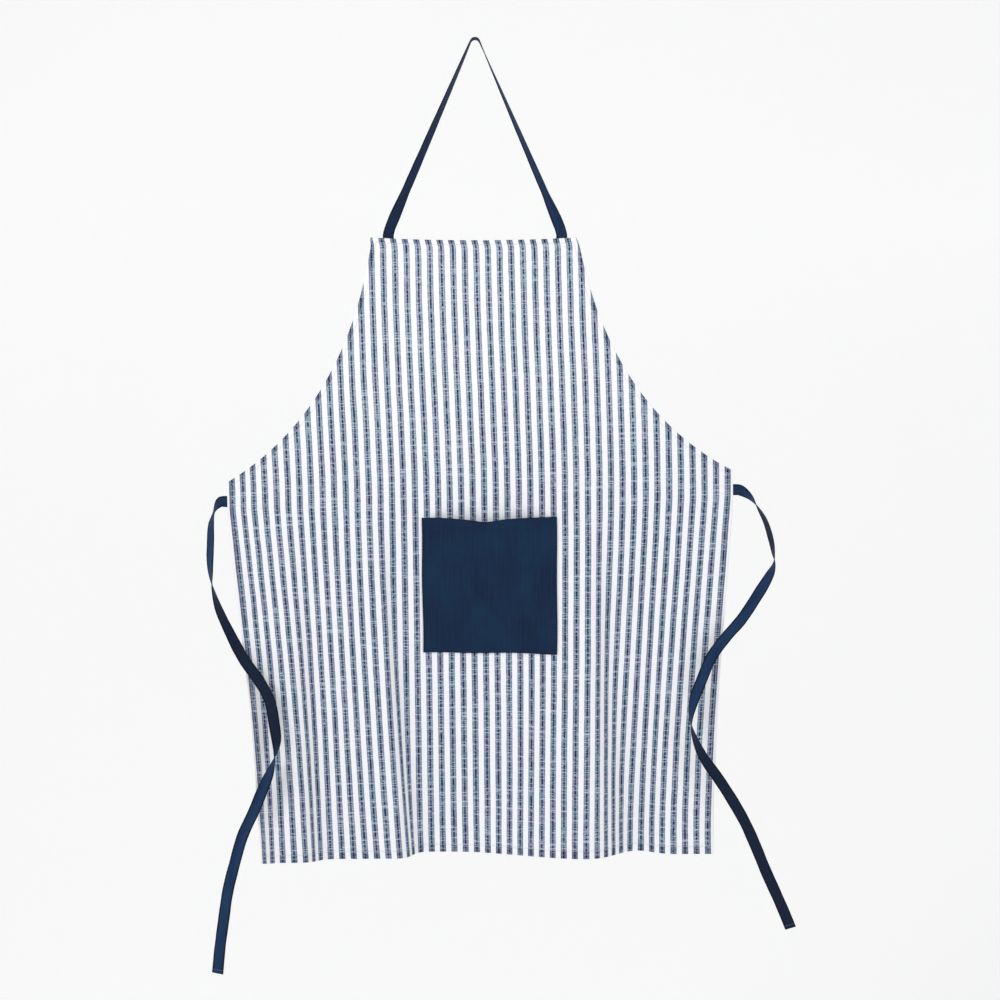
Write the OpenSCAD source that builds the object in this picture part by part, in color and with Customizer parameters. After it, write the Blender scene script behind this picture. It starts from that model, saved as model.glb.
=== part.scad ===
// Butcher apron hanging by its neck loop.
// +Z is up, the front faces -Y, and the origin is the point where the loop rests on a peg.
// u is measured across the cloth from its centre line, t is measured down from the top of the bib.

/* [Body panel] */
// Width of the cloth at and below the waist
panel_w = 688; // [560:1:840]
// Length of the cloth from the top of the bib to the bottom edge
body_len = 844; // [700:1:1040]
// Width of the bib at its top edge
bib_w = 280; // [230:1:340]
// Height from the waist corners up to the top of the bib
armhole_h = 324; // [270:1:390]
// Thickness of one ply of striped cloth
cloth_th = 0.7; // [0.5:0.05:1]
// Width of the turned hem on the sides, the armholes and the top
side_hem = 8; // [6:0.5:12]
// Width of the turned hem along the bottom edge
bottom_hem = 12; // [8:0.5:20]

/* [Pocket] */
// Width of the pocket
pocket_w = 184; // [150:1:225]
// Height of the pocket
pocket_h = 183; // [150:1:222]
// Distance of the pocket mouth below the top of the bib
pocket_drop = 381; // [360:1:460]
// Distance of the pocket's centre to the wearer's left of the centre line
pocket_side = 12; // [0:1:20]
// Thickness of one ply of pocket canvas
pocket_th = 0.8; // [0.5:0.05:1]
// Width of the sewn margin round the pocket
pocket_margin = 7; // [5:0.5:10]
// Height of the turned hem at the pocket mouth
pocket_hem = 16; // [10:1:25]
// How far the pocket mouth stands open at its middle
pocket_gape = 12; // [10:0.5:16]

/* [Tape] */
// Width of the tape of the neck loop and the ties
tape_w = 15; // [12:0.5:18]
// Thickness of the tape
tape_th = 1.2; // [0.8:0.1:1.4]
// Height of the hanging point above the top of the bib
loop_drop = 271; // [220:1:330]
// Distance between the two legs of the loop where they meet the bib
loop_spread = 236; // [190:1:250]
// Radius of the peg that the loop is shaped for
peg_r = 6; // [5:0.5:10]
// Distance of the ties below the waist corners
tie_drop = 26; // [20:1:40]
// Length of tape that is sewn behind a hem
tab_len = 26; // [20:1:32]

/* [Stitching] */
// Width of a line of thread
thread_w = 0.6; // [0.4:0.1:0.8]
// Height of a line of thread above the cloth
thread_h = 0.3; // [0.2:0.05:0.4]

/* [Folds] */
// Distance below the ties where the folds of the skirt begin
fold_gap = 3; // [2:0.5:20]
// How far forward the wearer's right edge hangs at the bottom
edge_forward = 70; // [50:1:90]

/* [Hidden] */

// clearance between two plies that are sewn together
ply_gap = 0.1;
// clearance between the pocket and the panel behind it
pocket_gap = 0.7;
// height of the free tape at a seam, where the tape bends
bend_len = 4;
// half of the gap left in the tape at the bend
bend_gap = 1.2;
// how far the stitching runs inside the inner edge of a hem
stitch_inset = 1.5;
// width of the step where a hem's turned plies end
hem_step = 0.5;
// number of extra plies in a hem that is turned twice
hem_plies = 2;

half_w = panel_w / 2;
half_bib = bib_w / 2;
panel_back = cloth_th / 2;
hem_back = panel_back + hem_plies * cloth_th;
tape_y = hem_back + ply_gap + tape_th / 2;
tie_t = armhole_h + tie_drop;
fold_start = tie_t + tape_w / 2 + fold_gap;

// Each fold is a step in depth that grows from nothing at fold_start: its centre across the
// cloth at the start, how far the centre moves by the bottom edge, its half width at the
// bottom edge, the share of that width at the start, and its height (positive is forward).
// The places and widths are for a panel of half width fold_half, and grow with the real one.
fold_half = 344;
FOLDS = [
    [-333, 0, 26, 0.45, -30],
    [-257, 0, 33, 0.30, -40],
    [-134, 24, 33, 0.15, -42],
    [135, -70, 110, 0.20, 54],
    [154, 38, 57, 0.15, -56],
    [259, 0, 32, 0.40, 24]];
// sideways drift of the centre line at the waist and at the bottom edge
drift_waist = 6.8;
drift_end = 12;
// slope of the hang across the width at the waist and at the bottom edge
tilt_waist = 0.0235;
tilt_end = 0.004;
// sag of the bib's top edge between the legs of the loop
bib_sag = 2.5;
bib_sag_len = 100;
// how far each side edge draws in between the ties and the bottom edge, and the share of the
// half width that stays where it is
left_draw = 12;
right_draw = 7;
draw_from = 0.44;

// Route of each tie from its seam, chosen by hand: across, deep, up, and the tape's turn
// about its own length in degrees.
LEFT_ROUTE = [
    [-5.2, 0, 0, 0], [-9, 0, -0.4, 8], [-14.5, -0.5, -6.5, 50], [-18.5, -1, -15, 74],
    [-22, -2, -31, 52], [-22.5, -4, -53, 42], [-22.5, -8, -80, 45], [-20.5, -13, -100, 62],
    [-17, -18, -118, 90], [-7.5, -27, -145, 122], [7.5, -37, -174, 140], [27.5, -40, -211, 165],
    [48, -43, -239, 180], [63, -46, -266, 180], [70, -50, -299, 170], [73, -53, -321, 135],
    [71, -56, -339, 90], [66, -60, -358, 45], [57, -64, -380, 10], [45, -67, -410, 0],
    [30, -68, -443, 0], [19, -67, -481, 0], [10, -65, -517, 0], [4, -62, -556, 0],
    [-1, -60, -592, 0], [-4.5, -58, -627, 0]];
RIGHT_ROUTE = [
    [5.2, 0, 0, 0], [9, 0, -0.4, 8], [17, -0.5, -5, 42], [25, -1, -12, 72], [34, -2, -25, 105],
    [44, -4, -44, 122], [51, -6, -68, 125], [54, -7, -86, 112], [55, -8, -99, 90],
    [49, -9, -115, 50], [31, -10, -145, 12], [10, -12, -176, 0], [-11, -13, -200, 0],
    [-31, -15, -227, 0], [-45, -17, -259, 10], [-56, -19, -289, 45], [-59, -21, -315, 90],
    [-53, -22, -339, 125], [-42, -22, -362, 150], [-23, -22, -389, 170], [-3, -21, -420, 180],
    [14, -20, -450, 180], [28, -19, -481, 180], [42, -18, -515, 180], [56, -17, -546, 180],
    [67, -16, -571, 180], [76, -15, -593, 180]];

// --- shape of the cloth -------------------------------------------------------------

function clamp01(v) = min(1, max(0, v));
function smooth(v) = let (c = clamp01(v)) c * c * (3 - 2 * c);
function bezier(a, b, c, d, k) =
    pow(1 - k, 3) * a + 3 * pow(1 - k, 2) * k * b + 3 * (1 - k) * k * k * c + pow(k, 3) * d;

// armhole outline: half width of the cloth against the distance down, as one curve
arm_rise = armhole_h / 324;
arm_flare = (half_w - half_bib) / 204;
ARMHOLE = [for (k = [0:1/32:1])
    [bezier(0, 150, 262, 324, k) * arm_rise,
     half_bib + bezier(0, 25, 92, 204, k) * arm_flare]];
function half_at(t) = t >= armhole_h ? half_w : lookup(t, ARMHOLE);

function share_down(t) = clamp01((t - fold_start) / (body_len - fold_start));
function fold_step(u, s, f) =
    let (half = f[2] * (f[3] + (1 - f[3]) * s))
    f[4] * smooth((u * fold_half / half_w - f[0] - f[1] * s) / (2 * half) + 0.5);
// how far the cloth hangs forward at (u, t)
function forward(u, t) =
    let (s = share_down(t), steps = [for (f = FOLDS) fold_step(u, s, f)])
    s * (edge_forward + steps * [for (f = FOLDS) 1]);

// distance across the hanging cloth for a distance u along it
RUN_STEPS = 24;
function across(u, t) = t <= fold_start ? u :
    let (du = u / RUN_STEPS,
         parts = [for (k = [0:RUN_STEPS - 1])
             let (rise = (forward((k + 1) * du, t) - forward(k * du, t)) / max(abs(du), 0.001))
             sqrt(max(0.1, 1 - rise * rise))])
    du * (parts * [for (k = [1:RUN_STEPS]) 1]);

TILTS = [[0, 0], [armhole_h, tilt_waist], [armhole_h + 80, tilt_waist], [body_len, tilt_end]];
DRIFTS = [[0, 0], [armhole_h, drift_waist], [body_len, drift_end]];

function drawn_in(u, t) =
    let (s = share_down(t))
    (u < 0 ? left_draw : -right_draw) * 4 * s * (1 - s)
        * smooth((abs(u) / half_w - draw_from) / (1 - draw_from));

// middle of the cloth at (u, t)
function surf(u, t) =
    let (y = -forward(u, t), x = across(u, t), below = max(1, t - fold_start),
         lift = (y * y + (x - u) * (x - u)) / (2 * below),
         sag = bib_sag * (1 - pow(2 * u / loop_spread, 2)) * clamp01(1 - t / bib_sag_len))
    [x + drawn_in(u, t) + lookup(t, DRIFTS), y, -loop_drop - t + lookup(t, TILTS) * u + lift - sag];

// lines of the cloth that the panel and its stitching share
ARM_ROWS = 8;
SKIRT_ROWS = 11;
hem_line = body_len - bottom_hem;
skirt_step = (hem_line - hem_step - fold_start) / SKIRT_ROWS;
ROWS = concat([0, side_hem, side_hem + hem_step],
    [for (k = [1:ARM_ROWS - 1]) side_hem + (armhole_h - side_hem) * k / ARM_ROWS],
    [armhole_h],
    [for (k = [0:SKIRT_ROWS]) fold_start + skirt_step * k],
    [hem_line, body_len]);
INNER_COLS = 52;
function inner_half(t) = half_at(t) - side_hem - hem_step;
function cols(t) = let (w = half_at(t), e = w - side_hem, i = inner_half(t))
    concat([-w, -e], [for (k = [0:INNER_COLS]) i * (2 * k / INNER_COLS - 1)], [e, w]);

// middle of the panel as it is built, straight between its lines, below the waist corners
skirt_col = 2 * (half_w - side_hem - hem_step) / INNER_COLS;
function mix(a, b, k) = a + (b - a) * k;
function on_panel(u, t) =
    let (k = floor(u / skirt_col), a = u / skirt_col - k,
         above = t < fold_start, r = floor((t - fold_start) / skirt_step),
         t0 = above ? armhole_h : fold_start + r * skirt_step,
         t1 = above ? fold_start : t0 + skirt_step, b = (t - t0) / (t1 - t0))
    mix(mix(surf(k * skirt_col, t0), surf((k + 1) * skirt_col, t0), a),
        mix(surf(k * skirt_col, t1), surf((k + 1) * skirt_col, t1), a), b);

// --- solids from grids and rings ------------------------------------------------------

// closed sheet between two grids of points, the first in front
module sheet_between(front, back) {
    rows = len(front);
    cols = len(front[0]);
    n = rows * cols;
    quads = concat(
        [for (i = [0:rows - 2], j = [0:cols - 2])
            [i * cols + j, i * cols + j + 1, (i + 1) * cols + j + 1, (i + 1) * cols + j]],
        [for (i = [0:rows - 2], j = [0:cols - 2])
            [n + i * cols + j, n + (i + 1) * cols + j, n + (i + 1) * cols + j + 1, n + i * cols + j + 1]],
        [for (j = [0:cols - 2]) [j, n + j, n + j + 1, j + 1]],
        [for (j = [0:cols - 2]) let (a = (rows - 1) * cols + j) [a, a + 1, n + a + 1, n + a]],
        [for (i = [0:rows - 2]) let (a = i * cols) [a, a + cols, n + a + cols, n + a]],
        [for (i = [0:rows - 2]) let (a = (i + 1) * cols - 1) [a, n + a, n + a + cols, a + cols]]);
    polyhedron(
        points = concat([for (r = front) each r], [for (r = back) each r]),
        faces = [for (q = quads) each [[q[0], q[1], q[2]], [q[0], q[2], q[3]]]],
        convexity = 6);
}

// closed bar through rings of four points; opposite faces are split along parallel diagonals,
// so that a twisted tape keeps its thickness
module bar(rings) {
    n = len(rings);
    last = 4 * (n - 1);
    near = [for (i = [0:n - 2], j = [0, 1])
        [4 * i + j, 4 * i + j + 1, 4 * i + j + 5, 4 * i + j + 4]];
    far = [for (i = [0:n - 2], j = [2, 3]) let (k = (j + 1) % 4)
        [4 * i + j, 4 * i + k, 4 * i + 4 + k, 4 * i + 4 + j]];
    polyhedron(
        points = [for (r = rings) each r],
        faces = concat([[0, 3, 2], [0, 2, 1], [last, last + 1, last + 2], [last, last + 2, last + 3]],
            [for (q = near) each [[q[0], q[1], q[2]], [q[0], q[2], q[3]]]],
            [for (q = far) each [[q[0], q[1], q[3]], [q[1], q[2], q[3]]]]),
        convexity = 6);
}

// bar of thread just in front of a line of points on a face of cloth
module thread_bar(points) {
    last = len(points) - 1;
    bar([for (i = [0:last])
        let (p = points[i] + [0, -ply_gap, 0],
             run = points[min(last, i + 1)] - points[max(0, i - 1)],
             d = unit([run[0], 0, run[2]]), w = thread_w / 2 * [-d[2], 0, d[0]])
        [p + w, p - w, p - w + [0, -thread_h, 0], p + w + [0, -thread_h, 0]]]);
}
// line of thread on the front of the panel through the points (u, t)
module thread_line(line) {
    thread_bar([for (q = line) surf(q[0], q[1]) + [0, -cloth_th / 2, 0]]);
}

// --- tape ---------------------------------------------------------------------------------

function unit(v) = v / norm(v);
function tangent(route, i) = unit([for (k = [0:2])
    route[min(i + 1, len(route) - 1)][k] - route[max(i - 1, 0)][k]]);
// frame of a tape at a route point: its width direction and its thickness direction
function tape_frame(dir, turn) =
    let (n = unit([dir[2], 0, -dir[0]]), b = cross(dir, n), w = cos(turn) * n + sin(turn) * b)
    [w, cross(dir, w)];
function tape_ring(p, dir, turn, w, th, off) =
    let (f = tape_frame(dir, turn), c = p + f[1] * off, a = f[0] * w / 2, m = f[1] * th / 2)
    [c + a + m, c - a + m, c - a - m, c + a - m];
function place(r) = [r[0], r[1], r[2]];

module tape(route, from) {
    bar([for (i = [0:len(route) - 1])
        tape_ring(from + place(route[i]), tangent(route, i), route[i][3], tape_w, tape_th, 0)]);
}

// both legs of the neck loop and the bend over the peg
leg_x = loop_spread / 2;
leg_end = bend_len - loop_drop + bend_gap;
bend_r = peg_r + tape_th / 2;
lean = atan(leg_x / (loop_drop - peg_r));
LEG_RINGS = 8;
ARC_RINGS = 4;
// how each leg leans in above its seam: in, up
LEG_START = [[0, 0], [3.5, 12], [8.5, 24]];
// turn of each leg about its own length: at its foot, soon after, and where the bend begins
LEG_TURNS = [[0, 15], [0.12, 45], [0.5, 62], [1, 88]];
leg_foot = [leg_x - LEG_START[2][0], leg_end + LEG_START[2][1]];
// one side from the bib to the top: across, up, turn
half_loop = concat(
    [for (k = [0, 1]) [leg_x - LEG_START[k][0], leg_end + LEG_START[k][1], 0]],
    [for (k = [1:LEG_RINGS]) let (f = k / (LEG_RINGS + 1),
        top = [bend_r * cos(lean), -peg_r + bend_r * sin(lean)])
        [mix(leg_foot[0], top[0], f), mix(leg_foot[1], top[1], f), lookup(f, LEG_TURNS)]],
    [for (k = [0:ARC_RINGS - 1]) let (a = lean + (90 - lean) * k / ARC_RINGS)
        [bend_r * cos(a), -peg_r + bend_r * sin(a), 90]]);
half_n = len(half_loop);
NECK_ROUTE = concat(
    [for (p = half_loop) [-p[0], tape_y * (1 - p[2] / 90), p[1], p[2]]],
    [[0, 0, bend_r - peg_r, 90]],
    [for (k = [1:half_n]) let (p = half_loop[half_n - k])
        [p[0], tape_y * (1 - p[2] / 90), p[1], 180 - p[2]]]);

// where each tie leaves its hem; side is -1 on the left and 1 on the right
function tie_seam(side) = [surf(side * half_w, tie_t)[0], tape_y, surf(side * half_w, tie_t)[2]];

// --- sub-parts -------------------------------------------------------------------------------

module body_panel() {
    last_row = len(ROWS) - 1;
    front = [for (t = ROWS) [for (u = cols(t)) surf(u, t) + [0, -cloth_th / 2, 0]]];
    last_col = len(front[0]) - 1;
    back = [for (i = [0:last_row]) let (line = cols(ROWS[i])) [for (j = [0:last_col])
        let (in_hem = i < 2 || i > last_row - 2 || j < 2 || j > last_col - 2)
        surf(line[j], ROWS[i]) + [0, in_hem ? hem_back : panel_back, 0]]];
    color("lightsteelblue") sheet_between(front, back);
}

pocket_left = pocket_side - pocket_w / 2;
pocket_back = cloth_th / 2 + pocket_gap;
// lines of the pocket: its own edges and hems, and the panel's lines that cross it
function between(lines, lo, hi, room) = [for (v = lines) if (v > lo + room && v < hi - room) v];
LINE_ROOM = 3;
PANEL_COLS = [for (k = [-INNER_COLS / 2:INNER_COLS / 2]) k * skirt_col - pocket_left];
PANEL_ROWS = [for (t = ROWS) t - pocket_drop];
POCKET_COLS = concat([0, pocket_margin, pocket_margin + hem_step],
    between(PANEL_COLS, pocket_margin + hem_step, pocket_w - pocket_margin - hem_step, LINE_ROOM),
    [pocket_w - pocket_margin - hem_step, pocket_w - pocket_margin, pocket_w]);
POCKET_ROWS = concat([0, pocket_hem, pocket_hem + hem_step],
    between(PANEL_ROWS, pocket_hem + hem_step, pocket_h - pocket_margin - hem_step, LINE_ROOM),
    [pocket_h - pocket_margin - hem_step, pocket_h - pocket_margin, pocket_h]);
// how far the pocket stands off the panel, a from its left side and d down from its mouth
function gape(a, d) =
    let (v = abs(2 * (a - pocket_margin) / (pocket_w - 2 * pocket_margin) - 1),
         down = clamp01(1 - d / (pocket_h - pocket_margin)))
    pocket_gape * down * (1 - pow(min(1, v), 3));
function pocket_front(a, d, t_off) =
    on_panel(pocket_left + a, pocket_drop + d) + [0, -pocket_back - gape(a, d) - t_off, 0];

module pocket() {
    last_col = len(POCKET_COLS) - 1;
    last_row = len(POCKET_ROWS) - 1;
    front = [for (d = POCKET_ROWS) [for (a = POCKET_COLS) pocket_front(a, d, 2 * pocket_th)]];
    back = [for (i = [0:last_row]) [for (j = [0:last_col])
        let (in_hem = i < 2 || i > last_row - 2 || j < 2 || j > last_col - 2)
        pocket_front(POCKET_COLS[j], POCKET_ROWS[i], in_hem ? 0 : pocket_th)]];
    color("midnightblue") sheet_between(front, back);
}

module neck_strap() {
    color("midnightblue") tape(NECK_ROUTE, [0, 0, 0]);
}

module neck_tab(side) {
    top = bend_len - loop_drop - bend_gap;
    color("midnightblue")
    translate([side * leg_x - tape_w / 2, tape_y - tape_th / 2, -loop_drop - tab_len])
    cube([tape_w, tape_th, top + loop_drop + tab_len]);
}

module tie_tab(side) {
    seam = tie_seam(side);
    reach = bend_len - bend_gap;
    color("midnightblue")
    translate([seam[0] + (side < 0 ? -reach : -tab_len), tape_y - tape_th / 2, seam[2] - tape_w / 2])
    cube([tab_len + reach, tape_th, tape_w]);
}

// rectangle of stitching with a diagonal, lying in a plane that faces +Y
module box_stitch(w, h) {
    rotate([90, 0, 0])
    linear_extrude(height = thread_h)
    union() {
        difference() {
            square([w, h], center = true);
            square([w - 2 * thread_w, h - 2 * thread_w], center = true);
        }
        rotate(atan2(h, w))
        square([norm([w, h]) - 2 * thread_w, thread_w], center = true);
        rotate(-atan2(h, w))
        square([norm([w, h]) - 2 * thread_w, thread_w], center = true);
    }
}

anchor_inset = 2;
// the stitching shows on the back of the tape and on the front of the cloth
module anchor_thread(centre, w, h) {
    behind = tape_y + tape_th / 2 + ply_gap + thread_h;
    color("midnightblue")
    translate([centre[0], behind, centre[2]])
    box_stitch(w, h);
    color("midnightblue")
    translate([centre[0], -cloth_th / 2 - ply_gap, centre[2]])
    box_stitch(w, h);
}

module neck_anchor_thread(side) {
    top = side_hem + thread_w + bib_sag;
    h = tab_len - anchor_inset - top;
    anchor_thread([side * leg_x, 0, -loop_drop - top - h / 2], tape_w - 2 * anchor_inset, h);
}

module tie_anchor_thread(side) {
    seam = tie_seam(side);
    start = side_hem + thread_w;
    w = tab_len - anchor_inset - start;
    anchor_thread([seam[0] - side * (start + w / 2), 0, seam[2]], w, tape_w - 2 * anchor_inset);
}

module top_hem_thread() {
    t = side_hem - stitch_inset;
    ends = half_at(t) - side_hem + stitch_inset;
    color("white")
    thread_line([for (u = cols(t)) if (abs(u) < ends) [u, t]]);
}

module bottom_hem_thread() {
    t = hem_line + stitch_inset;
    color("white")
    thread_line([for (u = cols(t)) if (abs(u) < half_w - side_hem - 1) [u, t]]);
}

function edge_line(side, from_t, to_t) =
    [for (t = ROWS) if (t > from_t && t < to_t) [side * (half_at(t) - side_hem + stitch_inset), t]];

module side_hem_thread(side) {
    color("white")
    thread_line(concat([[side * (half_w - side_hem + stitch_inset), armhole_h + 2]],
        edge_line(side, armhole_h + 2, hem_line + 1)));
}

module armhole_thread(side) {
    color("white")
    thread_line(edge_line(side, side_hem - 1, armhole_h - 1));
}

// stitching along the sides and bottom of the pocket, as three runs in one node
module pocket_seam_thread() {
    inner = pocket_h - pocket_margin;
    ply = 2 * pocket_th + ply_gap;
    side_rows = [for (d = POCKET_ROWS) if (d <= inner) d];
    color("midnightblue") {
        for (edge = [[0, pocket_margin], [pocket_w, pocket_w - pocket_margin]])
            thread_bar([for (d = side_rows)
                mix(pocket_front(edge[0], d, ply), pocket_front(edge[1], d, ply), 0.5)]);
        thread_bar([for (a = POCKET_COLS) if (a >= pocket_margin && a <= pocket_w - pocket_margin)
            mix(pocket_front(a, inner, ply), pocket_front(a, pocket_h, ply), 0.5)]);
    }
}

module pocket_hem_thread() {
    d = pocket_hem - stitch_inset;
    color("midnightblue")
    thread_bar([for (a = POCKET_COLS) if (a > pocket_margin / 2 + thread_w
        && a < pocket_w - pocket_margin / 2 - thread_w) pocket_front(a, d, 2 * pocket_th)]);
}

end_inset = 4;
module tie_end_thread(route, from) {
    last = len(route) - 1;
    dir = tangent(route, last);
    off = tape_th / 2 + ply_gap + thread_h / 2;
    color("lightsteelblue")
    for (face = [-1, 1])
        bar([for (back = [end_inset + thread_w, end_inset])
            tape_ring(from + place(route[last]) - back * dir, dir, route[last][3],
                tape_w - 2 * anchor_inset, thread_h, face * off)]);
}

body_panel();
pocket();
neck_strap();
neck_tab(-1);  // neck_tab_left
neck_tab(1);  // neck_tab_right
color("midnightblue") tape(LEFT_ROUTE, tie_seam(-1));  // tie_left
color("midnightblue") tape(RIGHT_ROUTE, tie_seam(1));  // tie_right
tie_tab(-1);  // tie_tab_left
tie_tab(1);  // tie_tab_right
top_hem_thread();
bottom_hem_thread();
side_hem_thread(-1);  // side_hem_thread_left
side_hem_thread(1);  // side_hem_thread_right
armhole_thread(-1);  // armhole_thread_left
armhole_thread(1);  // armhole_thread_right
pocket_seam_thread();
pocket_hem_thread();
neck_anchor_thread(-1);  // neck_anchor_thread_left
neck_anchor_thread(1);  // neck_anchor_thread_right
tie_anchor_thread(-1);  // tie_anchor_thread_left
tie_anchor_thread(1);  // tie_anchor_thread_right
tie_end_thread(LEFT_ROUTE, tie_seam(-1));  // tie_end_thread_left
tie_end_thread(RIGHT_ROUTE, tie_seam(1));  // tie_end_thread_right
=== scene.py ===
import math

import bpy
import numpy as np
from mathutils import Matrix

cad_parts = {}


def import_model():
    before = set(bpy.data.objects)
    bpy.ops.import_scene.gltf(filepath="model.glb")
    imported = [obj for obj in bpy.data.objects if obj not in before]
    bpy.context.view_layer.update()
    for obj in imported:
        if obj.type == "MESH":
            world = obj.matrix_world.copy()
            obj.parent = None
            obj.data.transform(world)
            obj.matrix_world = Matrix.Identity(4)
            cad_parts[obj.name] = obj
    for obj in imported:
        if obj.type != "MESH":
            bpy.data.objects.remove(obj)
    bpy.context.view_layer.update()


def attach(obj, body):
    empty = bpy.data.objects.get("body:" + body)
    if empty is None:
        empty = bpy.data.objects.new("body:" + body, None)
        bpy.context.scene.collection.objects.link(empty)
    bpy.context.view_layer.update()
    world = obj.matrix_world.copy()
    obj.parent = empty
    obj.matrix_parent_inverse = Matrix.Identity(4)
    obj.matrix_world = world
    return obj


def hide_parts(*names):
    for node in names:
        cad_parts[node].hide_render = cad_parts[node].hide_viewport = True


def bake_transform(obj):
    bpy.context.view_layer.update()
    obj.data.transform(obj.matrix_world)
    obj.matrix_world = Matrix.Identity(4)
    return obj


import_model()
MM = 0.001

# ---- sizes of the apron, in mm, as in its CAD ------------------------------------------------
PANEL_W, BODY_LEN, BIB_W, ARMHOLE_H, CLOTH = 688.0, 844.0, 280.0, 324.0, 0.7
SIDE_HEM, BOTTOM_HEM, STITCH_INSET = 8.0, 12.0, 1.5
POCKET_W, POCKET_H, POCKET_DROP, POCKET_SIDE, POCKET_TH = 184.0, 183.0, 381.0, 12.0, 0.8
POCKET_MARGIN, POCKET_HEM, POCKET_GAPE, POCKET_GAP = 7.0, 16.0, 12.0, 0.7
TAPE_W, TAPE_TH, LOOP_DROP, LOOP_SPREAD, PEG_R = 15.0, 1.2, 271.0, 236.0, 6.0
TIE_DROP, TAB_LEN, PLY_GAP, BEND_LEN, BEND_GAP = 26.0, 26.0, 0.1, 4.0, 1.2
EDGE_FORWARD, BIB_SAG, BIB_SAG_LEN = 70.0, 2.5, 100.0
LEFT_DRAW, RIGHT_DRAW, DRAW_FROM = 12.0, 7.0, 0.44
HALF_W, HALF_BIB = PANEL_W / 2, BIB_W / 2
PANEL_BACK = CLOTH / 2
HEM_BACK = PANEL_BACK + 2 * CLOTH
TAPE_Y = HEM_BACK + PLY_GAP + TAPE_TH / 2
TIE_T = ARMHOLE_H + TIE_DROP
FOLD_START = TIE_T + TAPE_W / 2 + 3
# each fold: centre, drift of the centre, half width, least share of that width, and height
FOLDS = [(-333, 0, 26, 0.45, -30), (-257, 0, 33, 0.30, -40), (-134, 24, 33, 0.15, -42),
         (135, -70, 110, 0.20, 54), (154, 38, 57, 0.15, -56), (259, 0, 32, 0.40, 24)]
# the cloth's sideways drift at three heights, and its rise from left to right at four, per mm
DRIFT = ([0, ARMHOLE_H, BODY_LEN], [0, 6.8, 12])
TILT = ([0, ARMHOLE_H, ARMHOLE_H + 80, BODY_LEN], [0, 0.0235, 0.0235, 0.004])
TOP_PULL, TOP_PULL_LEN = -2.2, 12
# the ties' routes from their seams: x, y, z and the turn about the tape's length in degrees
LEFT_ROUTE = [
    (-5.2, 0, 0, 0), (-9, 0, -0.4, 8), (-14.5, -0.5, -6.5, 50), (-18.5, -1, -15, 74),
    (-22, -2, -31, 52), (-22.5, -4, -53, 42), (-22.5, -8, -80, 45), (-20.5, -13, -100, 62),
    (-17, -18, -118, 90), (-7.5, -27, -145, 122), (7.5, -37, -174, 140), (27.5, -40, -211, 165),
    (48, -43, -239, 180), (63, -46, -266, 180), (70, -50, -299, 170), (73, -53, -321, 135),
    (71, -56, -339, 90), (66, -60, -358, 45), (57, -64, -380, 10), (45, -67, -410, 0),
    (30, -68, -443, 0), (19, -67, -481, 0), (10, -65, -517, 0), (4, -62, -556, 0),
    (-1, -60, -592, 0), (-4.5, -58, -627, 0)]
RIGHT_ROUTE = [
    (5.2, 0, 0, 0), (9, 0, -0.4, 8), (17, -0.5, -5, 42), (25, -1, -12, 72), (34, -2, -25, 105),
    (44, -4, -44, 122), (51, -6, -68, 125), (54, -7, -86, 112), (55, -8, -99, 90),
    (49, -9, -115, 50), (31, -10, -145, 12), (10, -12, -176, 0), (-11, -13, -200, 0),
    (-31, -15, -227, 0), (-45, -17, -259, 10), (-56, -19, -289, 45), (-59, -21, -315, 90),
    (-53, -22, -339, 125), (-42, -22, -362, 150), (-23, -22, -389, 170), (-3, -21, -420, 180),
    (14, -20, -450, 180), (28, -19, -481, 180), (42, -18, -515, 180), (56, -17, -546, 180),
    (67, -16, -571, 180), (76, -15, -593, 180)]

# ---- camera, in metres -----------------------------------------------------------------------
CAMERA_AT = (0.034, -2.5, -0.627)
SEEN_WIDTH, SENSOR = 1.36, 36  # width of the picture at the cloth, and of the sensor in mm
camera = bpy.data.objects.new("camera", bpy.data.cameras.new("camera"))
bpy.context.collection.objects.link(camera)
camera.location = CAMERA_AT
camera.rotation_euler = (math.radians(90), 0, 0)
camera.data.sensor_width = SENSOR
camera.data.lens = SENSOR * -CAMERA_AT[1] / SEEN_WIDTH
bpy.context.scene.camera = camera


# ---- shape of the cloth ----------------------------------------------------------------------
# u is the distance across the flat cloth from its middle, and t the distance down from its top
def smooth(v):
    """Rises from 0 to 1 as v does, flat at both ends."""
    c = np.clip(v, 0, 1)
    return c * c * (3 - 2 * c)


def skirt_share(t):
    """0 down to where the folds start, growing to 1 at the bottom edge."""
    return np.clip((t - FOLD_START) / (BODY_LEN - FOLD_START), 0, 1)


def forward(u, t):
    """How far the folds bring the cloth to the front."""
    s = skirt_share(t)
    total = EDGE_FORWARD
    for centre, drift, half, share, height in FOLDS:
        wide = half * (share + (1 - share) * s)
        total = total + height * smooth((u - centre - drift * s) / (2 * wide) + 0.5)
    return s * total


def across(u, t):
    """Distance from the middle when hung. Lengths along the cloth are kept, so folds narrow it."""
    steps = 24
    du = u / steps
    depth = [forward(k * du, t) for k in range(steps + 1)]
    step = np.maximum(np.abs(du), 0.001)
    parts = sum(np.sqrt(np.maximum(0.1, 1 - ((b - a) / step) ** 2))
                for a, b in zip(depth, depth[1:]))
    return np.where(t <= FOLD_START, u, du * parts)


def arm(k, a, b, c, d):
    """Value at k of a cubic curve with the control values a to d."""
    return (1 - k) ** 3 * a + 3 * (1 - k) ** 2 * k * b + 3 * (1 - k) * k * k * c + k ** 3 * d


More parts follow.
